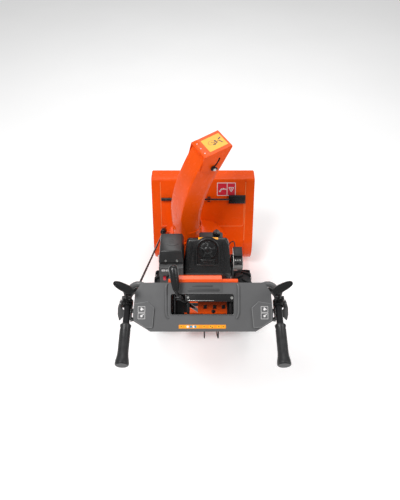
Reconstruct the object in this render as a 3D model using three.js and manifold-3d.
// A walk-behind two-stage snow blower with a 610 mm intake, as an assembly of separate pieces.
// Millimetres, +X to the operator's right, +Y forward (towards the auger), +Z up. The origin is on
// the ground, at the middle of the machine's width and length.

import * as THREE from "three";
import { mergeVertices } from "three/addons/utils/BufferGeometryUtils.js";
import Module from "manifold-3d";

const wasm = await Module();
wasm.setup();

// ---------------------------------------------------------------- driving dimensions

const GAP = 0.3; // left between pieces that touch
const SHEET = 4; // housing sheet

const HOUSING_HALF = 305; // half of the working width
const AUGER_Y = 600;
const AUGER_Z = 168;
const AUGER_R = 140;
const WALL_R = 150; // inside of the rear wall, round the auger
const TOP_CORNER = { y: 632, z: 572, r: 12 }; // inner bend between the rear wall and the top strip
const TOP_FRONT_Y = 708;
const RIM_INNER = 255; // where the side plate's folded rim starts

const DRUM_Z = 200;
const DRUM_R = 160;
const DRUM_REAR_Y = 262;
const IMPELLER_R = 148;
const SHAFT_R = 10;

const RING_X = -89;
const RING_Y = 340;
const RING_Z = 430;
const NECK_R = 82;
const CHUTE_GEAR_R = 103;
const CHUTE_TURN = -63; // degrees from straight ahead, at rest
const CHUTE_HALF = 67;
const CHUTE_DEPTH = 118;
const CHUTE_TOP_Y = 78;
const CHUTE_TOP_Z = 528;
const CHUTE_WALL = 3;
const DEFLECTOR_LENGTH = 148;
const DEFLECTOR_RISE = 10.6; // degrees above level, at rest
const KNOB_RADIUS = 80; // from the deflector's hinge to its clamping bolt
const KNOB_ANGLE = -60;

const AXLE_Y = 68;
const WHEEL_R = 165;
const WHEEL_X = 219;
const TYRE_HALF = 51;
const RIM_R = 78;

const CHASSIS_HALF = 135;
const CHASSIS_REAR = -120;
const CHASSIS_FRONT = 196;
const CHASSIS_LOW = 130;
const CHASSIS_TOP = 316;

const ENGINE_X = 24;
const CRANK_X = 20;
const CRANK_Z = 405;
const PULLEY_Y = 216;
const PULLEY_WIDTH = 24;
const ENGINE_PULLEY_R = 35;
const IMPELLER_PULLEY_R = 95;
const GROOVE = 8;
const COVER_FACE_TOP = { y: 130, z: 582 };
const COVER_FACE_LOW = { y: 22, z: 440 };

const TUBE_R = 12.7;
const HANDLE_X = 281;
const HANDLE_SLOPE = 9; // degrees that the grips fall towards the operator
const HANDLE_Y = -536;
const HANDLE_Z = 893;
const GRIP_FRONT = -60; // along the tube from the handle's reference point
const GRIP_REAR = -213;
const GRIP_R = 19.5;

const DASH_Y = -600;
const DASH_Z = 865;
const DASH_TILT = 38;
const DASH_DEPTH = 38;
const DASH_SKIN = 4;
const DASH_HALF_WIDTH = 257;
const SHIFT_PIVOT = [-88, 114, 6]; // across, up and off the dash's face

const ROD_FRONT = [-226, 345, 432];
const ROD_REAR = [-259, -385, 845];
const ROD_R = 4.5;
const WORM_R = 22;

// ---------------------------------------------------------------- colours

const ORANGE = 0xf05a19;
const DASH_GREY = 0x646464;
const BLACK = 0x2b2b2c;
const DARK = 0x3a3a3a;
const STEEL = 0xa9abad;
const RUBBER = 0x1c1c1c;

const paint = (colour) => new THREE.MeshStandardMaterial({ color: colour, roughness: 0.35 });
const plastic = (colour) => new THREE.MeshStandardMaterial({ color: colour, roughness: 0.6 });
const rubber = () => new THREE.MeshStandardMaterial({ color: RUBBER, roughness: 0.9 });
const steel = () => new THREE.MeshStandardMaterial({ color: STEEL, roughness: 0.4, metalness: 1 });

// ---------------------------------------------------------------- solids

const rad = THREE.MathUtils.degToRad;

/** A manifold solid from a closed three.js geometry, with its faces turned out. */
function solid(geometry) {
  const bare = geometry.clone();
  bare.deleteAttribute("normal");
  bare.deleteAttribute("uv");
  const merged = mergeVertices(bare, 1e-4);
  const index = merged.index.array;
  const corners = [];
  for (let i = 0; i < index.length; i += 3) {
    const [a, b, c] = [index[i], index[i + 1], index[i + 2]];
    if (a !== b && b !== c && c !== a) corners.push(a, b, c);
  }
  const build = (triangles) =>
    new wasm.Manifold(
      new wasm.Mesh({
        numProp: 3,
        vertProperties: merged.attributes.position.array,
        triVerts: new Uint32Array(triangles),
      }),
    );
  const made = build(corners);
  if (made.volume() > 0) return made;
  return build(corners.reverse());
}

const join = (...parts) => parts.reduce((a, b) => a.add(b));
const cut = (body, ...tools) => tools.reduce((a, b) => a.subtract(b), body);

/** A named mesh of one solid. */
function piece(name, material, body) {
  const made = body.getMesh();
  const geometry = new THREE.BufferGeometry();
  geometry.setAttribute("position", new THREE.BufferAttribute(made.vertProperties, 3));
  geometry.setIndex(new THREE.BufferAttribute(made.triVerts, 1));
  const flat = geometry.toNonIndexed();
  flat.computeVertexNormals();
  const mesh = new THREE.Mesh(flat, material);
  mesh.name = name;
  return mesh;
}

/** A group at a place, turned about X (or Z), holding the given meshes. */
function placed(position, turn, ...children) {
  const group = new THREE.Group();
  group.position.set(...position);
  group.rotation.set(rad(turn.x ?? 0), 0, rad(turn.z ?? 0));
  group.add(...children);
  return group;
}

function box(x0, x1, y0, y1, z0, z1) {
  const geometry = new THREE.BoxGeometry(x1 - x0, y1 - y0, z1 - z0);
  return solid(geometry.translate((x0 + x1) / 2, (y0 + y1) / 2, (z0 + z1) / 2));
}

/** Round bars along X, Y and Z. */
function rodX(x0, x1, y, z, r, sides = 14) {
  const bar = new THREE.CylinderGeometry(r, r, x1 - x0, sides).rotateZ(Math.PI / 2);
  return solid(bar.translate((x0 + x1) / 2, y, z));
}

function rodY(y0, y1, x, z, r, sides = 14) {
  const bar = new THREE.CylinderGeometry(r, r, y1 - y0, sides);
  return solid(bar.translate(x, (y0 + y1) / 2, z));
}

function rodZ(z0, z1, x, y, r, sides = 14) {
  const bar = new THREE.CylinderGeometry(r, r, z1 - z0, sides).rotateX(Math.PI / 2);
  return solid(bar.translate(x, y, (z0 + z1) / 2));
}

/** A straight round bar between two points. */
function rodBetween(from, to, r, sides = 10) {
  const a = new THREE.Vector3(...from);
  const b = new THREE.Vector3(...to);
  const bar = new THREE.CylinderGeometry(r, r, a.distanceTo(b), sides);
  const along = b.clone().sub(a).normalize();
  bar.applyQuaternion(new THREE.Quaternion().setFromUnitVectors(new THREE.Vector3(0, 1, 0), along));
  const middle = a.add(b).multiplyScalar(0.5);
  return solid(bar.translate(middle.x, middle.y, middle.z));
}

function outline(points) {
  return new THREE.Shape(points.map(([x, y]) => new THREE.Vector2(x, y)));
}

function extruded(shape, length) {
  return new THREE.ExtrudeGeometry(shape, { depth: length, bevelEnabled: false, curveSegments: 4 });
}

/** A (y, z) outline across the machine, an (x, z) outline along it, an (x, y) outline upwards. */
function prismX(points, x0, x1) {
  const turn = new THREE.Matrix4().makeBasis(
    new THREE.Vector3(0, 1, 0),
    new THREE.Vector3(0, 0, 1),
    new THREE.Vector3(1, 0, 0),
  );
  return solid(extruded(outline(points), x1 - x0).applyMatrix4(turn).translate(x0, 0, 0));
}

function prismY(points, y0, y1) {
  return solid(extruded(outline(points), y1 - y0).rotateX(Math.PI / 2).translate(0, y1, 0));
}

function prismZ(points, z0, z1) {
  return solid(extruded(outline(points), z1 - z0).translate(0, 0, z0));
}

/** Points of an arc about (x, y), from one angle to another in degrees. */
function arc(x, y, r, from, to, steps) {
  const points = [];
  for (let i = 0; i <= steps; i++) {
    const angle = rad(from + ((to - from) * i) / steps);
    points.push([x + r * Math.cos(angle), y + r * Math.sin(angle)]);
  }
  return points;
}

/** A rectangle with round corners. */
function roundRect(x0, x1, y0, y1, r, steps = 3) {
  return [
    ...arc(x1 - r, y1 - r, r, 0, 90, steps),
    ...arc(x0 + r, y1 - r, r, 90, 180, steps),
    ...arc(x0 + r, y0 + r, r, 180, 270, steps),
    ...arc(x1 - r, y0 + r, r, 270, 360, steps),
  ];
}

/** A closed (radius, height) profile turned about Y, then moved to (x, z). */
function turnedY(profile, x, z, segments = 24) {
  const points = profile.map(([r, h]) => new THREE.Vector2(r, h));
  points.push(points[0].clone());
  return solid(new THREE.LatheGeometry(points, segments).translate(x, 0, z));
}

function turnedX(profile, y, z, segments = 24) {
  const points = profile.map(([r, h]) => new THREE.Vector2(r, h));
  points.push(points[0].clone());
  return solid(new THREE.LatheGeometry(points, segments).rotateZ(-Math.PI / 2).translate(0, y, z));
}

function turnedZ(profile, x, y, segments = 24) {
  const points = profile.map(([r, h]) => new THREE.Vector2(r, h));
  points.push(points[0].clone());
  return solid(new THREE.LatheGeometry(points, segments).rotateX(Math.PI / 2).translate(x, y, 0));
}

/** A tube along a smooth curve through the points, hollow when a bore is given. */
function pipe(points, r, steps, sides = 12, bore = 0) {
  const path = new THREE.CatmullRomCurve3(points.map((p) => new THREE.Vector3(...p)));
  const section = outline(arc(0, 0, r, 0, 360 - 360 / sides, sides - 1));
  if (bore) {
    const hole = outline(arc(0, 0, bore, 0, 360 - 360 / sides, sides - 1));
    section.holes.push(new THREE.Path(hole.getPoints()));
  }
  return solid(new THREE.ExtrudeGeometry(section, { steps, extrudePath: path }));
}

/** A wall of constant thickness that runs through stations, each an open row of [outer, inner] points. */
function wallThrough(stations) {
  const rings = stations.map((row) => [...row.map((p) => p[0]), ...row.map((p) => p[1]).reverse()]);
  const size = rings[0].length;
  const half = size / 2;
  const index = [];
  const quad = (a, b, c, d) => index.push(a, b, c, a, c, d);
  for (let k = 0; k + 1 < rings.length; k++) {
    for (let i = 0; i < size; i++) {
      const next = (i + 1) % size;
      quad(k * size + i, k * size + next, (k + 1) * size + next, (k + 1) * size + i);
    }
  }
  const last = (rings.length - 1) * size;
  for (let i = 0; i + 1 < half; i++) {
    quad(i + 1, i, size - 1 - i, size - 2 - i);
    quad(last + i, last + i + 1, last + size - 2 - i, last + size - 1 - i);
  }
  const geometry = new THREE.BufferGeometry();
  geometry.setAttribute("position", new THREE.Float32BufferAttribute(rings.flat(2), 3));
  geometry.setIndex(index);
  return solid(geometry);
}

const mirrored = (points, side) => points.map(([x, ...rest]) => [side * x, ...rest]);
const sideName = (side) => (side < 0 ? "left" : "right");
const SIDES = [-1, 1];

/** A box whose inner and outer X are given for the right-hand side. */
function sideBox(side, x0, x1, ...rest) {
  return box(Math.min(side * x0, side * x1), Math.max(side * x0, side * x1), ...rest);
}

function sideRod(side, x0, x1, ...rest) {
  return rodX(Math.min(side * x0, side * x1), Math.max(side * x0, side * x1), ...rest);
}

// ---------------------------------------------------------------- auger housing

/** Direction that the flat rear wall faces: the common tangent of the auger arc and the top bend. */
function wallNormalAngle() {
  const dy = TOP_CORNER.y - AUGER_Y;
  const dz = TOP_CORNER.z - AUGER_Z;
  const towards = Math.atan2(dz, dy);
  return THREE.MathUtils.radToDeg(towards + Math.acos((WALL_R - TOP_CORNER.r) / Math.hypot(dy, dz)));
}

const WALL_ANGLE = wallNormalAngle();

/** The rear wall's line in (y, z), this far outside its inner face, from the top strip to the arc's end. */
function wallLine(offset, topY, arcEnd = 270) {
  return [
    [topY, TOP_CORNER.z + TOP_CORNER.r + offset],
    ...arc(TOP_CORNER.y, TOP_CORNER.z, TOP_CORNER.r + offset, 90, WALL_ANGLE, 3),
    ...arc(AUGER_Y, AUGER_Z, WALL_R + offset, WALL_ANGLE, arcEnd, 9),
  ];
}

/** A point on the flat rear wall's outer face at a height. */
function wallPoint(z) {
  const normal = rad(WALL_ANGLE);
  const startY = AUGER_Y + (WALL_R + SHEET) * Math.cos(normal);
  const startZ = AUGER_Z + (WALL_R + SHEET) * Math.sin(normal);
  return [0, startY + (z - startZ) / Math.tan(normal - Math.PI / 2), z];
}

function housing() {
  const lipY = 650;
  const inner = [...wallLine(0, TOP_FRONT_Y - SHEET), [lipY, AUGER_Z - WALL_R]];
  const hem = TOP_CORNER.z - 2;
  const outer = [
    [TOP_FRONT_Y - SHEET, hem],
    [TOP_FRONT_Y, hem],
    ...wallLine(SHEET, TOP_FRONT_Y),
    [lipY, AUGER_Z - WALL_R - SHEET],
  ];
  const edge = HOUSING_HALF - SHEET - GAP;
  const sheet = prismX([...outer, ...inner.reverse()], -edge, edge);
  const mouth = rodY(DRUM_REAR_Y, AUGER_Y, 0, DRUM_Z, DRUM_R - SHEET - 6, 32);
  const clips = [-105, 35].map(toolClip);
  return piece("auger_housing", paint(ORANGE), join(cut(sheet, mouth), ...clips));
}

function sidePlate(side) {
  const front = [
    [735, 14],
    [748, 40],
    [750, 120],
    [749, 330],
    [730, 480],
    [706, 586],
  ];
  const edge = [...wallLine(2 * SHEET, 640), [AUGER_Y + 20, 10], ...front];
  const flat = prismX(edge, HOUSING_HALF - SHEET, HOUSING_HALF);
  const rimLine = (offset) => wallLine(offset, 640, 235).slice(1);
  const rim = [...rimLine(2 * SHEET), ...rimLine(SHEET + 1.5).reverse()];
  const plate = join(flat, prismX(rim, RIM_INNER, HOUSING_HALF - SHEET / 2));
  const bush = rodX(HOUSING_HALF - 13, HOUSING_HALF - 1, AUGER_Y, AUGER_Z, 24, 16);
  const bore = rodX(HOUSING_HALF - 20, HOUSING_HALF + 5, AUGER_Y, AUGER_Z, SHAFT_R + GAP, 16);
  const bored = cut(join(plate, bush), bore);
  const turned = side > 0 ? bored : bored.mirror([1, 0, 0]);
  return piece(`side_plate_${sideName(side)}`, paint(ORANGE), turned);
}

function drum() {
  const front = 560;
  const neckTop = RING_Z - 6;
  const shell = join(
    rodY(DRUM_REAR_Y, front, 0, DRUM_Z, DRUM_R, 28),
    rodZ(DRUM_Z - 10, neckTop, RING_X, RING_Y, NECK_R, 20),
    rodZ(neckTop - 0.5, RING_Z - GAP, RING_X, RING_Y, NECK_R + 14, 20),
    rodY(DRUM_REAR_Y - 8, DRUM_REAR_Y + 8, 0, DRUM_Z, 30, 16),
  );
  const inside = join(
    rodY(DRUM_REAR_Y + SHEET, front + 5, 0, DRUM_Z, DRUM_R - SHEET, 28),
    rodZ(DRUM_Z, RING_Z + 5, RING_X, RING_Y, NECK_R - SHEET, 20),
  );
  const ahead = [...wallLine(SHEET + GAP, 800), [800, 0]];
  const trimmed = cut(shell, inside, prismX(ahead, -HOUSING_HALF, HOUSING_HALF));
  const bearing = rodY(DRUM_REAR_Y - 8, DRUM_REAR_Y + 12, 0, DRUM_Z, 22, 16);
  const shaftHole = rodY(DRUM_REAR_Y - 20, DRUM_REAR_Y + 20, 0, DRUM_Z, SHAFT_R + GAP);
  return piece("impeller_drum", paint(ORANGE), cut(join(trimmed, bearing, wormBracket()), shaftHole));
}

/** The ears that hold the worm beside the chute's ring. */
function wormBracket() {
  const x = ROD_FRONT[0];
  const y = ROD_FRONT[1] + 34;
  const ear = join(
    box(x - 16, x + 16, y, y + 6, RING_Z - 70, RING_Z + 8),
    box(x - 16, RING_X - 40, y, y + 6, RING_Z - 70, RING_Z - 40),
  );
  const rod = rodBetween([ROD_FRONT[0] + 4, ROD_FRONT[1] + 90, ROD_FRONT[2] - 51], ROD_REAR, ROD_R + 2.5);
  const bore = rodZ(DRUM_Z, RING_Z + 20, RING_X, RING_Y, NECK_R - 2, 20);
  return cut(ear, rod, bore);
}

const SOLE_REAR = 625;
const SOLE_FRONT = 728;

function skidShoe(side) {
  const plate = [
    [SOLE_REAR, 0],
    [SOLE_FRONT, 0],
    [742, 16],
    [742, 60],
    [716, 110],
    [560, 120],
    [535, 95],
    [545, 70],
  ];
  const shoe = join(
    prismX(plate, HOUSING_HALF + GAP, HOUSING_HALF + 5),
    box(HOUSING_HALF + GAP, HOUSING_HALF + 13, SOLE_REAR, SOLE_FRONT, 0, 6),
  );
  const turned = side > 0 ? shoe : shoe.mirror([1, 0, 0]);
  return piece(`skid_shoe_${sideName(side)}`, plastic(BLACK), turned);
}

const TOOL_HEIGHT = 481;
const TOOL_LIFT = 15; // of the tool's rod off the wall

/** An open-topped clip on the rear wall, in the machine's frame. */
function toolClip(x) {
  const block = box(x - 9, x + 9, -13, 13, -1, TOOL_LIFT + 9);
  const notch = box(x - 10, x + 10, -5.6, 5.6, TOOL_LIFT - 5.6, TOOL_LIFT + 12);
  return cut(block, notch).rotate([WALL_ANGLE - 90, 0, 0]).translate(wallPoint(TOOL_HEIGHT));
}

function cleanoutTool() {
  const lift = TOOL_LIFT;
  const tool = join(
    rodX(-248, -150, 0, lift, 10, 12),
    rodX(-150.5, 154, 0, lift, 5, 10),
    box(153, 252, -26, 26, lift - 3, lift + 3),
  );
  const mesh = piece("cleanout_tool", plastic(BLACK), tool);
  return placed(wallPoint(TOOL_HEIGHT), { x: WALL_ANGLE - 90 }, mesh);
}

/** One side's auger: two ribbons wound against the other side's, on arms from a sleeve. */
function auger(side) {
  const from = 48;
  const to = 294;
  const ribbonDepth = 34;
  const thickness = 5;
  const turns = 0.85;
  const steps = 12;
  const ribbon = (start) => {
    const stations = [];
    for (let k = 0; k <= steps; k++) {
      const x = from + ((to - from) * k) / steps;
      const angle = rad(start + side * -360 * turns * (k / steps));
      const at = (r, dx) => [side * (x + dx), AUGER_Y + r * Math.cos(angle), AUGER_Z + r * Math.sin(angle)];
      const outer = AUGER_R;
      const inner = AUGER_R - ribbonDepth;
      stations.push([
        [at(outer, -thickness / 2), at(outer, thickness / 2)],
        [at(inner, -thickness / 2), at(inner, thickness / 2)],
      ]);
    }
    return wallThrough(stations);
  };
  const arm = (start, share) => {
    const x = side * (from + (to - from) * share);
    const angle = rad(start + side * -360 * turns * share);
    const reach = AUGER_R - ribbonDepth / 2;
    return rodBetween(
      [x, AUGER_Y, AUGER_Z],
      [x, AUGER_Y + reach * Math.cos(angle), AUGER_Z + reach * Math.sin(angle)],
      6,
      6,
    );
  };
  const sleeve = sideRod(side, from - 4, to - 2, AUGER_Y, AUGER_Z, 17, 16);
  const arms = [0, 180].flatMap((start) => [0.08, 0.92].map((share) => arm(start, share)));
  const bore = sideRod(side, from - 10, to + 5, AUGER_Y, AUGER_Z, SHAFT_R + GAP, 16);
  const whole = cut(join(sleeve, ribbon(0), ribbon(180), ...arms), bore);
  return piece(`auger_${sideName(side)}`, paint(BLACK), whole);
}

function augerDrive() {
  const gearboxR = 40;
  const shell = join(
    turnedX(
      [
        [0, -38],
        [26, -38],
        [gearboxR, -22],
        [gearboxR, 22],
        [26, 38],
        [0, 38],
      ],
      AUGER_Y,
      AUGER_Z,
      16,
    ),
    rodY(528, AUGER_Y + 26, 0, DRUM_Z, 22, 12),
  );
  const hollow = join(
    rodX(-26, 26, AUGER_Y, AUGER_Z, gearboxR - 6, 16),
    rodY(540, AUGER_Y + 18, 0, DRUM_Z, 15, 12),
    rodX(-50, 50, AUGER_Y, AUGER_Z, SHAFT_R + GAP, 16),
    rodY(520, 560, 0, DRUM_Z, SHAFT_R + GAP, 16),
  );
  const shaft = join(
    rodX(-HOUSING_HALF - 3, HOUSING_HALF + 3, AUGER_Y, AUGER_Z, SHAFT_R, 16),
    rodX(-9, 9, AUGER_Y, AUGER_Z, 23, 24),
  );
  return [
    piece("auger_gearbox", paint(DARK), cut(shell, hollow)),
    piece("auger_shaft", steel(), shaft),
  ];
}

function impeller() {
  const bladeFrom = 296;
  const bladeTo = 420;
  const blade = (angle) => {
    const plate = new THREE.BoxGeometry(IMPELLER_R - 14, bladeTo - bladeFrom, 6);
    plate.translate(14 + (IMPELLER_R - 14) / 2, (bladeFrom + bladeTo) / 2, 0);
    return solid(plate.rotateY(rad(angle)).translate(0, 0, DRUM_Z));
  };
  const hub = rodY(bladeFrom - 10, bladeTo + 10, 0, DRUM_Z, 22);
  const bore = rodY(bladeFrom - 20, bladeTo + 20, 0, DRUM_Z, SHAFT_R + GAP);
  const wheel = cut(join(hub, ...[45, 135, 225, 315].map(blade)), bore);
  const shaft = rodY(PULLEY_Y - 4, AUGER_Y - 22, 0, DRUM_Z, SHAFT_R);
  const worm = rodY(AUGER_Y - 23, AUGER_Y + 14, 0, DRUM_Z, 8.2);
  return [
    piece("impeller", paint(BLACK), wheel),
    piece("impeller_shaft", steel(), join(shaft, worm)),
    piece("impeller_pulley", steel(), pulleyBody(IMPELLER_PULLEY_R, 0, DRUM_Z, SHAFT_R + GAP, 20)),
  ];
}

/** A grooved pulley on a shaft along Y. */
function pulleyBody(r, x, z, bore, segments) {
  const middle = PULLEY_Y + PULLEY_WIDTH / 2;
  const profile = [
    [bore, PULLEY_Y],
    [r, PULLEY_Y],
    [r, PULLEY_Y + 4],
    [r - GROOVE, middle - 7],
    [r - GROOVE, middle + 7],
    [r, PULLEY_Y + PULLEY_WIDTH - 4],
    [r, PULLEY_Y + PULLEY_WIDTH],
    [bore, PULLEY_Y + PULLEY_WIDTH],
  ];
  return turnedY(profile, x, z, segments);
}

/** The outline of a belt, or of a cover, round two pulleys. */
function roundBoth(lowR, highR) {
  const along = Math.atan2(CRANK_Z - DRUM_Z, CRANK_X);
  const spread = Math.acos((lowR - highR) / Math.hypot(CRANK_X, CRANK_Z - DRUM_Z));
  const from = THREE.MathUtils.radToDeg(along - spread);
  const to = THREE.MathUtils.radToDeg(along + spread);
  return [...arc(CRANK_X, CRANK_Z, highR, from, to, 10), ...arc(0, DRUM_Z, lowR, to, from + 360, 16)];
}

function belts() {
  const clear = 0.6;
  const low = IMPELLER_PULLEY_R - GROOVE + clear;
  const high = ENGINE_PULLEY_R - GROOVE + clear;
  const middle = PULLEY_Y + PULLEY_WIDTH / 2;
  const belt = cut(
    prismY(roundBoth(low + 7, high + 7), middle - 5.5, middle + 5.5),
    prismY(roundBoth(low, high), middle - 8, middle + 8),
  );
  const coverFrom = 206;
  const coverTo = 250;
  const cover = cut(
    prismY(roundBoth(IMPELLER_PULLEY_R + 15, ENGINE_PULLEY_R + 20), coverFrom, coverTo),
    prismY(roundBoth(IMPELLER_PULLEY_R + 12, ENGINE_PULLEY_R + 17), coverFrom - 5, coverTo - 3),
    rodY(coverFrom - 10, coverTo + 10, 0, DRUM_Z, 16),
  );
  return [piece("auger_belt", rubber(), belt), piece("belt_cover", plastic(BLACK), cover)];
}

// ---------------------------------------------------------------- chute

/** The chute's open section as [x, depth] points: an arc at the base, a U at the top. */
function chuteSection(blend) {
  const corner = 6;
  const half = CHUTE_HALF;
  const sideDepths = [CHUTE_DEPTH, 80, 42];
  const left = sideDepths.map((d) => [-half, d]);
  const bend = arc(-half + corner, corner, corner, 180, 270, 2);
  const halfU = [...left, ...bend];
  const u = [...halfU, ...halfU.map(([x, d]) => [-x, d]).reverse()];
  const count = u.length;
  const openHalf = 50;
  return u.map(([x, d], i) => {
    const angle = rad(-90 - (180 - openHalf) + (i * 2 * (180 - openHalf)) / (count - 1));
    const roundX = NECK_R * Math.cos(angle);
    const roundD = NECK_R - 3 + NECK_R * Math.sin(angle);
    return [x * blend + roundX * (1 - blend), d * blend + roundD * (1 - blend)];
  });
}

/** One station of the chute: [outer, inner] points in the chute's frame. */
function chuteStation(t) {
  const curve = new THREE.CubicBezierCurve(
    new THREE.Vector2(-NECK_R + 3, 4.6),
    new THREE.Vector2(-NECK_R + 3, 200),
    new THREE.Vector2(CHUTE_TOP_Y - 115, CHUTE_TOP_Z - 164),
    new THREE.Vector2(CHUTE_TOP_Y, CHUTE_TOP_Z),
  );
  const at = curve.getPoint(t);
  const along = curve.getTangent(t);
  const section = chuteSection(THREE.MathUtils.smoothstep(t, 0, 0.38));
  return section.map((p, i) => {
    const before = section[Math.max(i - 1, 0)];
    const after = section[Math.min(i + 1, section.length - 1)];
    const run = new THREE.Vector2(after[0] - before[0], after[1] - before[1]).normalize();
    const inner = [p[0] - run.y * CHUTE_WALL, p[1] + run.x * CHUTE_WALL];
    return [p, inner].map(([x, d]) => [x, at.x + d * along.y, at.y - d * along.x]);
  });
}

function chute() {
  const steps = 7;
  const stations = [];
  for (let k = 0; k <= steps; k++) stations.push(chuteStation(k / steps));
  const base = turnedZ(
    [
      [NECK_R - 3, 4.6],
      [NECK_R, 4.6],
      [NECK_R, 70],
      [NECK_R - 3, 70],
    ],
    0,
    0,
    20,
  );
  const ring = turnedZ(
    [
      [NECK_R - 4, GAP],
      [CHUTE_GEAR_R, GAP],
      [CHUTE_GEAR_R, 5],
      [NECK_R - 4, 5],
    ],
    0,
    0,
    20,
  );
  const hinge = [0, CHUTE_TOP_Y, CHUTE_TOP_Z + 5];
  const ear = [hinge[1] - 5, hinge[1] + 5, hinge[2] - 16, hinge[2] + 4];
  const ears = SIDES.map((side) => sideBox(side, CHUTE_HALF - 3, CHUTE_HALF, ...ear));
  const pin = rodX(-CHUTE_HALF - 9, CHUTE_HALF + 9, hinge[1], hinge[2], 3, 10);
  const body = join(wallThrough(stations), base, ring, ...ears, pin);
  return [piece("chute", paint(ORANGE), body), deflector()];
}

function deflector() {
  const inner = CHUTE_HALF + 5;
  const outer = inner + 2.5;
  const rise = rad(DEFLECTOR_RISE);
  const plateAt = (along, up) => [
    along * Math.cos(rise) - up * Math.sin(rise),
    along * Math.sin(rise) + up * Math.cos(rise),
  ];
  const tip = DEFLECTOR_LENGTH;
  const top = prismX([plateAt(6, 4), plateAt(6, 1.5), plateAt(tip, 1.5), plateAt(tip, 4)], -outer, outer);
  const side = [
    plateAt(-6, 4),
    [-16, -30],
    [-28, -71],
    [25, -91],
    [80, -86],
    plateAt(tip, -6),
    plateAt(tip, 4),
  ];
  const slot = [
    ...arc(0, 0, KNOB_RADIUS + 5.5, KNOB_ANGLE - 5, KNOB_ANGLE + 45, 6),
    ...arc(0, 0, KNOB_RADIUS - 5.5, KNOB_ANGLE + 45, KNOB_ANGLE - 5, 6),
  ];
  const pin = rodX(-100, 100, 0, 0, 3.5, 12);
  const body = cut(
    join(top, prismX(side, -outer, -inner), prismX(side, inner, outer)),
    prismX(slot, -100, 100),
    pin,
  );
  const knobAt = [KNOB_RADIUS * Math.cos(rad(KNOB_ANGLE)), KNOB_RADIUS * Math.sin(rad(KNOB_ANGLE))];
  const knob = join(
    rodX(CHUTE_HALF + GAP, outer + 3, ...knobAt, 4, 10),
    rodX(outer + 1.5, outer + 8, ...knobAt, 13, 16),
    box(outer + 7, outer + 18, knobAt[0] - 17, knobAt[0] + 17, knobAt[1] - 3, knobAt[1] + 3),
  );
  return placed(
    [0, CHUTE_TOP_Y, CHUTE_TOP_Z + 5],
    {},
    piece("deflector", paint(ORANGE), body),
    piece("deflector_knob", plastic(BLACK), knob),
  );
}

function chuteDrive() {
  const front = new THREE.Vector3(...ROD_FRONT);
  const rear = new THREE.Vector3(...ROD_REAR);
  const along = rear.clone().sub(front).normalize();
  const at = (distance) => front.clone().addScaledVector(along, distance).toArray();
  const end = front.distanceTo(rear);
  const crank = join(
    rodBetween(at(-42), rear.toArray(), ROD_R),
    rodBetween(at(-20), at(22), WORM_R, 12),
    rodBetween(at(end - 6), at(end + 2), 18, 12),
    crankArm(at(end - 10), at(end + 14)),
  );
  return piece("chute_crank_rod", plastic(BLACK), crank);
}

/** The crank's short arm and its grip, off the rod's end. */
function crankArm(at, beyond) {
  const lift = new THREE.Vector3(0, 0, 12);
  const from = new THREE.Vector3(...at).add(lift).toArray();
  const to = new THREE.Vector3(...beyond).add(lift).toArray();
  return rodBetween(from, to, 5, 10);
}

// ---------------------------------------------------------------- chassis and wheels

function chassis() {
  const half = CHASSIS_HALF;
  const shell = cut(
    box(-half, half, CHASSIS_REAR, CHASSIS_FRONT, CHASSIS_LOW, CHASSIS_TOP),
    box(-half + 4, half - 4, CHASSIS_REAR + 4, CHASSIS_FRONT - 4, CHASSIS_LOW - 5, CHASSIS_TOP - 4),
    rodX(-half - 5, half + 5, AXLE_Y, WHEEL_R, SHAFT_R + GAP),
  );
  const axle = join(
    rodX(-WHEEL_X - 46, WHEEL_X + 46, AXLE_Y, WHEEL_R, SHAFT_R, 16),
    rodX(-70, -58, AXLE_Y, WHEEL_R, 34, 24),
  );
  return [piece("chassis", paint(ORANGE), shell), piece("axle", steel(), axle)];
}

function wheel(side) {
  const carcass = [
    [RIM_R + 1, -TYRE_HALF + 10],
    [RIM_R + 12, -TYRE_HALF + 3],
    [RIM_R + 42, -TYRE_HALF],
    [WHEEL_R - 14, -TYRE_HALF + 2],
    [WHEEL_R, -TYRE_HALF + 12],
    [WHEEL_R, TYRE_HALF - 12],
    [WHEEL_R - 14, TYRE_HALF - 2],
    [RIM_R + 42, TYRE_HALF],
    [RIM_R + 12, TYRE_HALF - 3],
    [RIM_R + 1, TYRE_HALF - 10],
  ];
  const tyre = turnedX(carcass, AXLE_Y, WHEEL_R, 28);
  const dish = [
    [SHAFT_R + GAP, -20],
    [26, -20],
    [26, 4],
    [56, 12],
    [RIM_R - 8, -8],
    [RIM_R - 8, -TYRE_HALF + 6],
    [RIM_R, -TYRE_HALF + 6],
    [RIM_R, TYRE_HALF - 6],
    [RIM_R - 8, TYRE_HALF - 6],
    [RIM_R - 8, -2],
    [56, 18],
    [30, 10],
    [24, 38],
    [SHAFT_R + GAP, 38],
  ].map(([r, x]) => [r, side * x]);
  const rim = turnedX(dish, AXLE_Y, WHEEL_R, 16);
  const name = sideName(side);
  return placed(
    [side * WHEEL_X, 0, 0],
    {},
    piece(`rim_${name}`, paint(ORANGE), rim),
    piece(`tyre_${name}`, rubber(), tyre),
  );
}

// ---------------------------------------------------------------- engine

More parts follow.
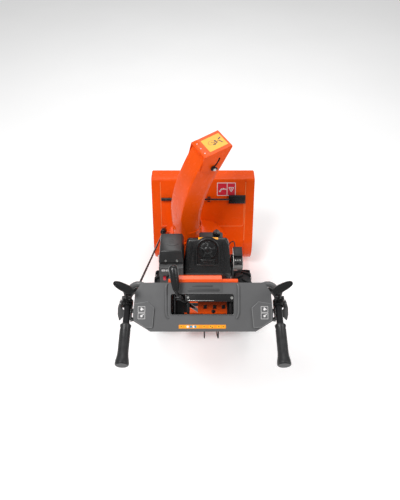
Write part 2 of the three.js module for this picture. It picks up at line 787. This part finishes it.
function engine() {
  const bore = rodY(40, 210, CRANK_X, CRANK_Z, 13);
  const block = join(
    box(-62, 108, 96, 190, CHASSIS_TOP + GAP, 452),
    box(-80, 130, 60, 190, CHASSIS_TOP + GAP, CHASSIS_TOP + 12),
    rodY(188, 200, CRANK_X, CRANK_Z, 50, 24),
  );
  const fins = Array.from({ length: 6 }, (_, i) => box(-84, -60, 100, 186, 352 + i * 16, 357 + i * 16));
  const crankshaft = join(
    rodY(50, PULLEY_Y + PULLEY_WIDTH + 4, CRANK_X, CRANK_Z, 12, 16),
    rodY(62, 86, CRANK_X, CRANK_Z, 68, 20),
    pulleyBody(ENGINE_PULLEY_R, CRANK_X, CRANK_Z, 8, 16),
  );
  return [
    piece("engine_block", paint(DARK), cut(join(block, ...fins), bore)),
    piece("crankshaft", steel(), crankshaft),
  ];
}

/** The (y, z) side view of the engine's cover, this far outside its inner face. */
function coverSide(offset, front, low) {
  return [
    [front, COVER_FACE_TOP.z + offset],
    [COVER_FACE_TOP.y - offset * 0.5, COVER_FACE_TOP.z + offset],
    [COVER_FACE_LOW.y - offset, COVER_FACE_LOW.z + offset * 0.3],
    [COVER_FACE_LOW.y - offset, low],
    [front, low],
  ];
}

function engineCover() {
  const front = 152;
  const low = 352;
  const thick = 4;
  const width = (inset) => {
    const topHalf = 100 - inset;
    const lowHalf = 124 - inset;
    const top = COVER_FACE_TOP.z + 1 - inset;
    return [
      [ENGINE_X - lowHalf, low - 10],
      [ENGINE_X + lowHalf, low - 10],
      [ENGINE_X + lowHalf, 440],
      [ENGINE_X + topHalf, top - 20],
      [ENGINE_X + topHalf - 18, top],
      [ENGINE_X - topHalf + 18, top],
      [ENGINE_X - topHalf, top - 20],
      [ENGINE_X - lowHalf, 440],
    ];
  };
  const outer = prismX(coverSide(0, front, low), -200, 260).intersect(prismY(width(0), -60, 260));
  const inner = prismX(coverSide(-thick, front + 5, low - 5), -200, 260).intersect(
    prismY(width(thick), -60, 260),
  );
  const faceTurn = THREE.MathUtils.radToDeg(
    Math.atan2(COVER_FACE_TOP.z - COVER_FACE_LOW.z, COVER_FACE_TOP.y - COVER_FACE_LOW.y),
  );
  const domeR = 48;
  const archOuter = 64;
  const archInner = 53;
  const leg = -84;
  const arch = cut(
    prismZ([...arc(0, 0, archOuter, 0, 180, 12), [-archOuter, leg], [archOuter, leg]], GAP, 9),
    prismZ([...arc(0, 0, archInner, 0, 180, 12), [-archInner, leg + 8], [archInner, leg + 8]], 3, 12),
  );
  const dome = turnedZ(
    [
      [0, 1],
      [domeR, 1],
      [domeR - 4, 10],
      [domeR - 18, 18],
      [0, 22],
    ],
    0,
    0,
    28,
  );
  const socket = box(-38, 38, leg + 2, -46, 1, 12);
  const grip = join(
    prismZ(roundRect(-34, 34, leg + 8, -50, 6, 2), 13, 26),
    box(-8, 8, -74, -60, 12 + GAP, 14),
  );
  return [
    piece("engine_cover", plastic(DARK), cut(outer, inner)),
    placed(
      [ENGINE_X, 98, COVER_FACE_TOP.z - (COVER_FACE_TOP.y - 98) * Math.tan(rad(faceTurn)) + GAP],
      { x: faceTurn },
      piece("recoil_starter", plastic(BLACK), join(arch, dome, socket)),
      piece("starter_grip", plastic(BLACK), grip),
    ),
  ];
}

function fuelSystem() {
  const tankLow = 468;
  const tankTop = 566;
  const capX = 71;
  const capY = 184;
  const tank = join(
    prismZ(roundRect(-20, 104, 154, 204, 10, 2), tankLow, tankTop),
    rodZ(tankTop - 2, tankTop + 10, capX, capY, 12, 20),
  );
  const hollow = join(
    box(-14, 98, 160, 198, tankLow + 5, tankTop - 5),
    rodZ(tankTop - 10, tankTop + 12, capX, capY, 9),
  );
  const capBody = cut(
    rodZ(tankTop + GAP, tankTop + 22, capX, capY, 18, 20),
    rodZ(tankTop, tankTop + 16, capX, capY, 12 + GAP, 20),
  );
  const cap = join(capBody, box(capX - 4, capX + 4, capY - 16, capY + 16, tankTop + 21, tankTop + 27));
  const filter = { x0: -226, x1: -101, rear: 22, front: 184, low: 522, high: 580 };
  const filterSide = (wall, low) => [
    [filter.front - wall, low],
    [filter.front - wall, filter.high - wall],
    [filter.rear + 33 + wall, filter.high - wall],
    [filter.rear + wall, filter.low + 8],
    [filter.rear + wall, low],
  ];
  const filterPlan = roundRect(filter.x0, filter.x1, filter.rear, filter.front, 14);
  const shell = cut(
    prismX(filterSide(0, filter.low), filter.x0, filter.x1).intersect(
      prismZ(filterPlan, filter.low - 1, filter.high + 1),
    ),
    prismX(filterSide(4, filter.low - 5), filter.x0 + 4, filter.x1 - 4),
  );
  const panel = cut(
    box(-224, -101, -12, 150, 405, filter.low - GAP),
    box(-219, -106, -7, 160, 400, filter.low - 6),
    rodY(-20, 0, -176, 447, 5, 12),
    box(-206, -190, -20, 0, 436, 458),
    rodY(-20, 0, -140, 447, 8, 16),
  );
  const bulb = turnedY(
    [
      [0, -22],
      [7, -20],
      [7.6, -10],
      [7.6, -6.5],
      [0, -6.5],
    ],
    -140,
    447,
    16,
  );
  const choke = join(
    rodY(-10, -6, -176, 447, 4.6, 12),
    rodY(-26, -12 - GAP, -176, 447, 12, 16),
    rodY(-13, -9, -176, 447, 4, 12),
  );
  const key = box(-205, -191, -22, -4, 437, 457);
  return [
    piece("fuel_tank", plastic(DARK), cut(tank, hollow)),
    piece("fuel_cap", plastic(BLACK), cap),
    piece("carburettor_cover", plastic(DARK), shell),
    piece("control_panel", plastic(BLACK), panel),
    piece("choke_knob", plastic(BLACK), choke),
    piece("primer_bulb", rubber(), bulb),
    piece("engine_switch", plastic(0xc8202a), key),
  ];
}

function exhaustAndStarter() {
  const muffler = cut(
    join(
      prismX(roundRect(84, 148, 390, 444, 12, 2), 162, 214),
      rodX(158, 164, 116, 417, 12, 12),
    ),
    rodX(200, 220, 116, 417, 8, 12),
  );
  const boxProfile = [
    [72, 448],
    [166, 448],
    [166, 490],
    [104, 490],
    [104, 478],
    [72, 474],
  ];
  const starterBox = cut(prismX(boxProfile, 162, 208), rodY(64, 86, 185, 461, 6 + GAP));
  const button = rodY(66, 78, 185, 461, 6);
  const lead = pipe(
    [
      [172, 160, 478],
      [172, 196, 482],
      [166, 212, 486],
      [150, 212, 478],
      [140, 196, 462],
      [138, 190.5, 440],
    ],
    3,
    16,
    8,
  );
  return [
    piece("muffler", steel(), muffler),
    piece("electric_starter_box", plastic(DARK), join(starterBox, lead)),
    piece("starter_button", plastic(BLACK), button),
  ];
}

// ---------------------------------------------------------------- dash

/** The dash's outline on its own face, drawn in by an inset. */
function dashOutline(inset) {
  const d = inset;
  const right = [
    [193 - d * 0.6, -10 + d],
    [DASH_HALF_WIDTH - d, 29 + d * 0.5],
    [DASH_HALF_WIDTH - d, 60],
    [250 - d, 133],
    [227 - d * 0.6, 169 - d],
  ];
  return [...right, ...right.map(([x, v]) => [-x, v]).reverse()];
}

function dash() {
  const windowHole = prismZ(roundRect(-118, 113, 52, 126, 6, 2), -DASH_DEPTH - 5, 10);
  const boss = (side) => {
    const points = mirrored(
      [
        [186, 4],
        [214, 6],
        [254, 32],
        [253, 92],
        [204, 100],
        [178, 76],
      ],
      side,
    );
    return prismZ(side > 0 ? points : points.reverse(), -2, 6);
  };
  const horn = (side) =>
    pipe(
      mirrored(
        [
          [216, 158, -16],
          [244, 164, -18],
          [268, 152, -26],
          [280, 132, -34],
        ],
        side,
      ),
      11,
      8,
      10,
    );
  const shell = cut(
    join(prismZ(dashOutline(0), -DASH_DEPTH, 0), ...SIDES.map(boss)),
    prismZ(dashOutline(DASH_SKIN), -DASH_DEPTH - 5, -DASH_SKIN),
    windowHole,
  );
  const bar = prismZ(roundRect(-66, 116, 100, 125, 4, 2), -14, -3);
  const within = prismZ(dashOutline(DASH_SKIN), -60, -DASH_SKIN);
  const panel = join(shell, bar, ...SIDES.map((side) => cut(horn(side), within)));
  const cap = join(
    prismX(
      [
        [169.6, -34],
        [169.6, 2],
        [176, 5],
        [182, -6],
        [184, -34],
      ],
      -128,
      129,
    ),
    prismX(
      [
        [170.5, -34],
        [170.5, 5],
        [181, 9],
        [194, -4],
        [198, -34],
      ],
      -90,
      69,
    ),
  );
  const slot = box(-72, -20, 55, 124, -95, -80);
  const plate = cut(prismZ(roundRect(-103, 103, 30, 132, 4, 2), -88, -84), slot);
  const bracket = join(
    box(-106, -102, 30, 118, -92, -12),
    box(-106, -102, 104, 122, -20, SHIFT_PIVOT[2] + 5),
    box(102, 106, 30, 122, -92, -20),
    rodX(-104, -74, SHIFT_PIVOT[1], SHIFT_PIVOT[2], 4, 12),
  );
  return placed(
    [0, DASH_Y, DASH_Z],
    { x: DASH_TILT },
    piece("dash_panel", plastic(DASH_GREY), panel),
    piece("dash_cap", plastic(ORANGE), cap),
    piece("shift_plate", paint(ORANGE), join(plate, bracket)),
  );
}

/** A point given on the dash's face (across, up the face, off the face), in the machine's frame. */
function dashPoint([x, v, h]) {
  const point = new THREE.Vector3(x, v, h).applyAxisAngle(new THREE.Vector3(1, 0, 0), rad(DASH_TILT));
  return [point.x, point.y + DASH_Y, point.z + DASH_Z];
}

function shiftLever() {
  const pivot = dashPoint(SHIFT_PIVOT);
  const [x, y, z] = pivot;
  const top = [-106, y + 76, z + 91];
  const gripLow = [-97, y + 7, z + 34];
  const low = [0, y + 44, z - 165];
  const lever = join(
    rodBetween(gripLow, top, 14, 12),
    rodBetween([-90, y, z], [-98, y + 12, z + 38], 7, 10),
    rodBetween([-86, y, z - 3], low, 7, 8),
    rodX(x - 8, x + 8, y, z, 10, 14),
  );
  const bore = rodX(x - 20, x + 20, y, z, 4 + GAP, 12);
  return piece("shift_lever", plastic(BLACK), cut(lever, bore));
}

// ---------------------------------------------------------------- handles

function upperHandle(side) {
  const slope = Math.tan(rad(HANDLE_SLOPE));
  const onGrip = (y) => [HANDLE_X, y, HANDLE_Z + (y - HANDLE_Y) * slope];
  const upperRoute = [
    onGrip(-737),
    onGrip(-660),
    onGrip(-580),
    onGrip(-520),
    onGrip(-484),
    [270, -450, 894],
    [238, -422, 864],
    [212, -385, 800],
    [205, -330, 700],
    [201, -270, 595],
  ];
  const name = sideName(side);
  const tube = pipe(mirrored(upperRoute, side), TUBE_R, 18, 8, TUBE_R - 2);
  return piece(`upper_handle_${name}`, paint(BLACK), tube);
}

/** Both lower tubes and the cross tube welded between them. */
function lowerHandle() {
  const route = [
    [150, -70, 262],
    [150, -108, 310],
    [160, -190, 452],
    [170, -270, 592],
    [176, -320, 680],
  ];
  const tubes = SIDES.map((side) => pipe(mirrored(route, side), TUBE_R, 6, 8));
  return piece("lower_handle", paint(BLACK), join(...tubes, rodX(-160, 160, -200, 470, 9, 12)));
}

function handleEnd(side) {
  const name = sideName(side);
  const grip = turnedY(
    [
      [TUBE_R + GAP + 0.2, GRIP_REAR],
      [GRIP_R + 4, GRIP_REAR],
      [GRIP_R + 4, GRIP_REAR + 7],
      [GRIP_R, GRIP_REAR + 12],
      [GRIP_R - 1, GRIP_FRONT - 8],
      [GRIP_R + 1, GRIP_FRONT - 6],
      [GRIP_R + 1, GRIP_FRONT],
      [TUBE_R + GAP + 0.2, GRIP_FRONT],
    ],
    0,
    0,
    18,
  );
  const clampRing = cut(rodY(14, 40, 0, 0, TUBE_R + 7), rodY(10, 50, 0, 0, TUBE_R + 1.5));
  const post = box(-7, 7, 20, 36, 16, 30);
  const pinX = rodX(-19, 19, 28, 30, 3.5, 12);
  const lug = join(sideBox(side, 15, 21, 20, 34, -8, 8), sideRod(side, 20, 30, 28, 0, 3, 10));
  const inboard = -(HANDLE_X - DASH_HALF_WIDTH - GAP);
  const bridge = join(
    sideBox(side, -18, -14.5, -44, 36, -9, 9),
    sideBox(side, inboard, -16, -42, -32, -9, 7),
    sideBox(side, inboard, -16, -8, 2, -9, 7),
  );
  const clamp = join(clampRing, post, pinX, lug, bridge);
  const pivot = rodX(-30, 30, 28, 30, 3.5 + GAP, 12);
  const ear = leverEar(side, pivot);
  const trigger = steeringTrigger(side);
  return placed(
    [side * HANDLE_X, HANDLE_Y, HANDLE_Z],
    { x: HANDLE_SLOPE },
    piece(`grip_${name}`, rubber(), grip),
    piece(`lever_clamp_${name}`, plastic(BLACK), clamp),
    piece(`control_lever_${name}`, plastic(BLACK), ear),
    piece(`steering_trigger_${name}`, plastic(DASH_GREY), trigger),
  );
}

/** The palm lever: two cheeks on the pivot and a leaf that stands up and out from them. */
function leverEar(side, pivot) {
  const cheeks = join(
    sideBox(side, -16, -9, 20, 36, 22, 44),
    sideBox(side, 9, 16, 20, 36, 22, 44),
    sideBox(side, -16, 16, 24, 34, 40, 48),
  );
  const leaf = [];
  const count = 14;
  for (let i = 0; i < count; i++) {
    const angle = (2 * Math.PI * i) / count;
    const along = Math.cos(angle);
    leaf.push([42 * along, (14 - 3 * along) * Math.sin(angle)]);
  }
  const blade = extruded(outline(leaf), 5);
  blade.rotateZ(rad(28));
  blade.rotateX(rad(45));
  if (side < 0) blade.applyMatrix4(new THREE.Matrix4().makeScale(-1, 1, 1));
  blade.translate(side * 4, 42, 98);
  const neck = rodBetween([side * -1, 29, 44], [side * 3, 41, 99], 6, 10);
  return cut(join(cheeks, neck, solid(blade)), pivot);
}

/** The blade beside and under the tube that a finger pulls up, on an ear. */
function steeringTrigger(side) {
  const blade = mirrored(
    [
      [24, 52],
      [24, 18],
      [15, 10],
      [15, -12],
      [26, -26],
      [31, -30],
      [38, -8],
      [40, 20],
      [36, 48],
    ],
    side,
  );
  const plate = prismZ(side > 0 ? blade : blade.reverse(), -27, -21);
  const ear = sideBox(side, 22.5, 28, 18, 40, -26, 8);
  return cut(join(plate, ear), sideRod(side, 18, 34, 28, 0, 3 + GAP, 10));
}

function cables() {
  const route = (x) => [
    [x, -540, 850],
    [x, -568, 830],
    [x, -594, 817],
    [x, -592, 792],
    [x, -520, 700],
    [x, -380, 540],
    [x, -240, 390],
    [x, CHASSIS_REAR - 3, 262],
  ];
  return [
    piece("drive_cable", rubber(), pipe(route(5), 2.5, 16, 8)),
    piece("auger_cable", rubber(), pipe(route(57), 2.5, 16, 8)),
  ];
}

// ---------------------------------------------------------------- assembly

const scraper = piece(
  "scraper_bar",
  paint(BLACK),
  box(-HOUSING_HALF + 5, HOUSING_HALF - 5, 604, 656, 7, AUGER_Z - WALL_R - SHEET - GAP),
);

const snowBlower = new THREE.Group();
snowBlower.add(
  housing(),
  drum(),
  scraper,
  cleanoutTool(),
  ...SIDES.flatMap((side) => [sidePlate(side), skidShoe(side), auger(side), wheel(side)]),
  ...augerDrive(),
  ...impeller(),
  ...belts(),
  ...chassis(),
  ...engine(),
  ...engineCover(),
  ...fuelSystem(),
  ...exhaustAndStarter(),
  placed([RING_X, RING_Y, RING_Z], { z: CHUTE_TURN }, ...chute()),
  chuteDrive(),
  dash(),
  shiftLever(),
  ...SIDES.flatMap((side) => [upperHandle(side), handleEnd(side)]),
  lowerHandle(),
  ...cables(),
);

export default snowBlower;
